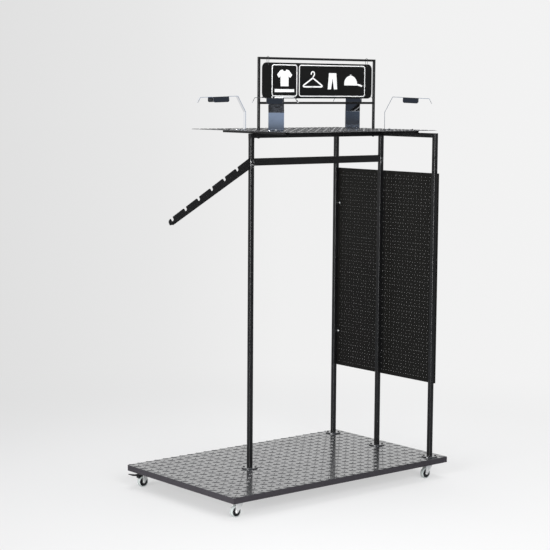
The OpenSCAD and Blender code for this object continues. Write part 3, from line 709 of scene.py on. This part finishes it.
def cap_holder(corner):
    """One sheet cut to a cross and bent: foot, leg, brow, head, and three turned-down tabs."""
    joint = next(j for j in frame["joints"] if j["name"] == corner + "_holder_turn")
    pivot = Vector(joint["pos_m"])
    heading = math.radians(HEADINGS[corner])
    fall = DROOP / (HEAD_REACH - BROW)
    tip_z = HEAD_H - DROOP
    spine = filleted([(FOOT, STRIP_T / 2), (0, STRIP_T / 2), (0, LEG_H), (BROW, HEAD_H),
                      (HEAD_REACH, tip_z), (HEAD_REACH + TAB_OUT, tip_z - TAB_DOWN)], 3.5 * MM)
    spine = [p for p in reversed(rounded_end(list(reversed(spine)), TAB_R))]
    spine = rounded_end(spine, TAB_R)
    wing_start, wing_end = WING_MID - WING_L / 2, WING_MID + WING_L / 2
    first_wing = next(i for i, p in enumerate(spine) if p.y > HEAD_H - DROOP and p.x > BROW)
    spine = spine[:first_wing] + with_stations(spine[first_wing:], (wing_start, WING_MID, wing_end))
    rib = filleted([(-WING_REACH - TAB_OUT, -TAB_DOWN), (-WING_REACH, 0), (WING_REACH, 0),
                    (WING_REACH + TAB_OUT, -TAB_DOWN)], 3 * MM)
    rib = [p for p in reversed(rounded_end(list(reversed(rib)), TAB_R))]
    rib = with_stations(rounded_end(rib, TAB_R), (-STRIP_W / 2, 0, STRIP_W / 2))
    along, across = lengths(spine), lengths(rib)
    normals, rib_normals = line_normals(spine), line_normals(rib)
    on_wing = [p.y > HEAD_H - DROOP - MM and wing_start - 1e-6 < p.x < wing_end + 1e-6 for p in spine]
    head = Vector((fall, 0, 1)).normalized()

    def station(k, j):
        """Middle point and normal of the sheet at one crossing of spine and rib."""
        p, q = spine[k], rib[j]
        if abs(q.x) <= STRIP_W / 2 + 1e-6:
            inset = end_inset(min(along[k], along[-1] - along[k]), TAB_R)
            y = q.x * (1 - inset / (STRIP_W / 2))
            return Vector((p.x, y, p.y)), Vector((normals[k].x, 0, normals[k].y))
        inset = end_inset(min(across[j], across[-1] - across[j]), TAB_R)
        x = WING_MID + (p.x - WING_MID) * (1 - inset / (WING_L / 2))
        middle = Vector((x, q.x, HEAD_H - (x - BROW) * fall)) + head * q.y
        return middle, Vector((0, rib_normals[j].x, 0)) + head * rib_normals[j].y

    bm = bmesh.new()
    layers = {}
    for k in range(len(spine)):
        for j, q in enumerate(rib):
            if abs(q.x) <= STRIP_W / 2 + 1e-6 or on_wing[k]:
                middle, normal = station(k, j)
                if abs(q.x) <= STRIP_W / 2 + 1e-6 and normal.z < 0 and on_wing[k]:
                    normal = -normal
                layers[k, j] = [bm.verts.new(middle + side * normal * STRIP_T / 2)
                                for side in (1, -1)]
    cells = []
    for k in range(len(spine) - 1):
        for j in range(len(rib) - 1):
            wide = on_wing[k] and on_wing[k + 1]
            if wide or max(abs(rib[j].x), abs(rib[j + 1].x)) <= STRIP_W / 2 + 1e-6:
                cells.append((k, j))
    edges = set()
    for k, j in cells:
        ring = [(k, j), (k + 1, j), (k + 1, j + 1), (k, j + 1)]
        bm.faces.new([layers[c][0] for c in ring])
        bm.faces.new([layers[c][1] for c in reversed(ring)])
        edges |= set(zip(ring, [*ring[1:], ring[0]]))
    for a, b in edges:
        if (b, a) not in edges:
            bm.faces.new((layers[b][0], layers[a][0], layers[a][1], layers[b][1]))
    bmesh.ops.delete(bm, geom=[v for v in bm.verts if not v.link_faces], context="VERTS")
    bmesh.ops.recalc_face_normals(bm, faces=bm.faces)
    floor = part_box("shelf_sheet")[1].z
    leg = Vector((pivot.x - SCREW_OUT * math.cos(heading), pivot.y - SCREW_OUT * math.sin(heading), floor))
    bm.transform(Matrix.Translation(leg) @ Matrix.Rotation(heading, 4, "Z"))
    node = corner + "_cap_holder"
    obj = mesh_object(node + ".look", bm)
    return finish_piece(obj, BODY_OF[node], SLOT_OF[node], [node], smooth=45)


# ---------- sign ----------

BOARD_THICKNESS = 4.4 * MM
PRINT = 0.25 * MM
KEYLINE = 4.2 * MM


def rounded_rectangle(low, high, radius, steps=8):
    """Outline of a rectangle with round corners, anticlockwise from the lower right."""
    points = []
    corners = ((high[0] - radius, low[1] + radius, -90), (high[0] - radius, high[1] - radius, 0),
               (low[0] + radius, high[1] - radius, 90), (low[0] + radius, low[1] + radius, 180))
    for x, z, start in corners:
        for i in range(steps + 1):
            a = math.radians(start + 90 * i / steps)
            points.append((x + radius * math.cos(a), z + radius * math.sin(a)))
    return points


def slab(bm, outline, y0, y1):
    """A closed flat slab with a 2D outline in X and Z, from y0 to y1."""
    near = [bm.verts.new((x, y0, z)) for x, z in outline]
    far = [bm.verts.new((x, y1, z)) for x, z in outline]
    bm.faces.new(near)
    bm.faces.new(list(reversed(far)))
    for i in range(len(outline)):
        k = (i + 1) % len(outline)
        bm.faces.new((near[k], near[i], far[i], far[k]))


def ring_slab(bm, outer, inner, y0, y1):
    """A closed flat frame between two outlines with the same number of points."""
    loops = [[bm.verts.new((x, y, z)) for x, z in line] for line in (outer, inner) for y in (y0, y1)]
    outer_near, outer_far, inner_near, inner_far = loops
    for i in range(len(outer)):
        k = (i + 1) % len(outer)
        for a, b in ((outer_near, inner_near), (inner_near, inner_far), (inner_far, outer_far),
                     (outer_far, outer_near)):
            bm.faces.new((a[i], a[k], b[k], b[i]))


def arc(x, z, rx, rz, start, end, steps=12):
    return [(x + rx * math.cos(math.radians(start + (end - start) * i / steps)),
             z + rz * math.sin(math.radians(start + (end - start) * i / steps)))
            for i in range(steps + 1)]


def thick_line(points, width):
    """Outline of an open line drawn with a pen of that width."""
    points = [Vector(p) for p in points]
    sides = ([], [])
    for i, p in enumerate(points):
        before = (p - points[i - 1]).normalized() if i else (points[1] - p).normalized()
        after = (points[i + 1] - p).normalized() if i < len(points) - 1 else before
        middle = (before + after).normalized()
        normal = Vector((-middle.y, middle.x)) * width / 2 / max(0.3, middle.dot(before))
        sides[0].append(tuple(p + normal))
        sides[1].append(tuple(p - normal))
    return [*sides[0], *reversed(sides[1])]


def shirt():
    half = [(9, 30), (22, 26), (38, 9), (28, -2), (20, 5), (20, -34)]
    neck = arc(0, 30, 9, 7, 180, 360, 8)
    return [[*neck, *half[1:], *[(-x, z) for x, z in reversed(half[1:])]]]


def cap():
    dome = arc(-6, -8, 30, 27, 180, 0, 16)
    brim = [(30, -9), (47, -13), (50, -17), (46, -19), (26, -14.5), (-36, -14.5)]
    button = arc(-6, 20, 4, 3, 0, 180, 8)
    return [[*dome, *brim], button]


def hanger():
    hook = [*arc(0, 22, 7.5, 7.5, 200, -60, 14), (0, 8)]
    left = [(1.5, 9), (-40, -16), (-43, -19.5), (-40, -22), (1.5, -22)]
    right = [(-x, z) for x, z in reversed(left)]
    return [thick_line(hook, 4.5), thick_line([*reversed(left)], 5), thick_line([*reversed(right)], 5)]


def trousers():
    return [[(-20, 32), (20, 32), (26, -34), (8, -34), (0, 12), (-8, -34), (-26, -34)]]


def bar(width, height):
    return [[(-width / 2, -height / 2), (width / 2, -height / 2), (width / 2, height / 2),
             (-width / 2, height / 2)]]


def sign():
    """The board with its printed keylines and pictograms, alike on both faces."""
    low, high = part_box("sign_board")
    body, slot = BODY_OF["sign_board"], SLOT_OF["sign_board"]
    half = BOARD_THICKNESS / 2
    bm = bmesh.new()
    slab(bm, rounded_rectangle((low.x, low.z), (high.x, high.z), 24 * MM, 12), -half, half)
    bmesh.ops.recalc_face_normals(bm, faces=bm.faces)
    bmesh.ops.bevel(bm, geom=sharp_edges(bm, 60), offset=0.7 * MM, segments=3, profile=0.5,
                    affect="EDGES", clamp_overlap=True)
    finish_piece(mesh_object("sign_board.look", bm), body, "board_face", ["sign_board"])

    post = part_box("front_sign_post")
    axis = (post[0].x + post[1].x) / 2
    bottom, top = low.z + 8 * MM, high.z - 7.5 * MM
    boxes = ((axis + 71 * MM, axis + 217 * MM), (axis + 227.5 * MM, axis + 626 * MM))
    middle = (bottom + top) / 2
    left_mid, right_mid = [(a + b) / 2 for a, b in boxes]
    marks = [(shirt(), left_mid, middle + 14 * MM, 1.15), (bar(112, 13), left_mid, bottom + 26 * MM, 1.0),
             (hanger(), right_mid - 118 * MM, middle + 2 * MM, 1.3), (trousers(), right_mid, middle, 1.1),
             (cap(), right_mid + 118 * MM, middle, 1.3)]
    bm = bmesh.new()
    for side in (-1, 1):
        y0, y1 = side * (half - 0.05 * MM), side * (half + PRINT)
        centre = (low.x + high.x) / 2

        def placed(outline):
            return outline if side < 0 else [(2 * centre - x, z) for x, z in outline]

        for a, b in boxes:
            outer = rounded_rectangle((a, bottom), (b, top), 13 * MM)
            inner = rounded_rectangle((a + KEYLINE, bottom + KEYLINE), (b - KEYLINE, top - KEYLINE), 9 * MM)
            ring_slab(bm, placed(outer), placed(inner), y0, y1)
        for shapes, x, z, scale in marks:
            at = x if side < 0 else 2 * centre - x
            for shape in shapes:
                slab(bm, [(at + px * scale * MM, z + pz * scale * MM) for px, pz in shape], y0, y1)
    finish_piece(mesh_object("sign_print", bm), body, "print_white")


def wire_link(bm, x, bar_z, low_z, big, small, radius):
    """A closed loop of round wire round the bar above and through the board below."""
    drop = bar_z - low_z
    ny = (big - small) / drop
    lean = math.degrees(math.asin(ny))
    path = [(y, z + bar_z) for y, z in arc(0, 0, big, big, lean, 180 - lean, 22)]
    path += [(y, z + low_z) for y, z in arc(0, 0, small, small, 180 - lean, 360 + lean, 14)]
    rings = []
    for i, (y, z) in enumerate(path):
        before, after = path[i - 1], path[(i + 1) % len(path)]
        along = Vector((0, after[0] - before[0], after[1] - before[1])).normalized()
        out = along.cross(Vector((1, 0, 0)))
        ring = []
        for k in range(10):
            a = 2 * math.pi * k / 10
            ring.append(bm.verts.new(Vector((x, y, z)) + radius * (math.cos(a) * out
                                     + math.sin(a) * Vector((1, 0, 0)))))
        rings.append(ring)
    for i, ring in enumerate(rings):
        after = rings[(i + 1) % len(rings)]
        for k in range(10):
            m = (k + 1) % 10
            bm.faces.new((ring[k], ring[m], after[m], after[k]))


def sign_links():
    joint = next(j for j in frame["joints"] if j["name"] == "sign_swing")
    low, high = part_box("sign_links")
    board_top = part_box("sign_board")[1].z
    wire = 1.0 * MM
    bm = bmesh.new()
    for x in (low.x + wire, high.x - wire):
        wire_link(bm, x, joint["pos_m"][2], board_top - 7 * MM, 8.5 * MM, 4.1 * MM, 0.9 * MM)
    finish_piece(mesh_object("sign_links.look", bm), "sign", "black_fixings",
                 ["sign_links"], smooth=60)


# ---------- wheels ----------

def tyre(corner):
    """A smooth crowned tyre turned round its axle."""
    node = corner + "_tyre"
    low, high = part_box(node)
    centre = (low + high) / 2
    outer = (high.z - low.z) / 2
    half = (high.y - low.y) / 2
    inner = outer - 5 * MM
    shoulder = 3.2 * MM
    profile = [(inner, -half), (inner + 1.2 * MM, -half)]
    profile += [(outer - 0.35 * MM - shoulder + shoulder * math.sin(a), -half + shoulder * (1 - math.cos(a)))
                for a in [math.pi / 2 * i / 5 for i in range(6)]]
    profile += [(outer, 0)]
    profile += [(r, -y) for r, y in reversed(profile[:-1])]
    bm = bmesh.new()
    rings = []
    sides = 72
    for i in range(sides):
        a = 2 * math.pi * i / sides
        rings.append([bm.verts.new(centre + Vector((r * math.cos(a), y, r * math.sin(a))))
                      for r, y in profile])
    for i, ring in enumerate(rings):
        after = rings[(i + 1) % sides]
        for k in range(len(profile)):
            m = (k + 1) % len(profile)
            bm.faces.new((ring[k], ring[m], after[m], after[k]))
    finish_piece(mesh_object(node + ".look", bm), BODY_OF[node], "grey_tyre", [node])


# ---------- assemble ----------

bpy.context.scene.view_settings.view_transform = "Standard"

make_camera()
make_floor()
make_world()
make_lights()

tread_plate("deck_plate", 1.7 * MM)
tread_plate("shelf_sheet", 1.6 * MM,
            [Vector(j["pos_m"]) for j in frame["joints"] if j["name"].endswith("_holder_turn")])
perforated_sheet("perforated_panel")
for place in CORNERS:
    cap_holder(place)
    tyre(place)
sign()
sign_links()

TUBE_CORNERS = {
    "front_upright": 2.8, "middle_upright": 2.8, "rear_left_upright": 2.8, "rear_right_upright": 2.8,
    "spine_beam": 2.5, "cross_beam": 2.5, "front_bearer": 1.5, "rear_bearer": 1.5,
    "front_sign_post": 1.2, "rear_sign_post": 1.2, "sign_top_bar": 1.2, "sign_lower_bar": 1.2,
    "base_rail_left": 1.5, "base_rail_right": 1.5, "base_rail_front": 1.5, "base_rail_rear": 1.5,
}
OTHER_SURFACES = {"floor_flanges": "deck_tread", "front_upright": "front_upright_worn",
                  "middle_upright": "middle_upright_worn"}
for name in NODES:
    if NODES[name].hide_render:
        continue
    softened(name, TUBE_CORNERS.get(name, 0) * MM, surface=OTHER_SURFACES.get(name))
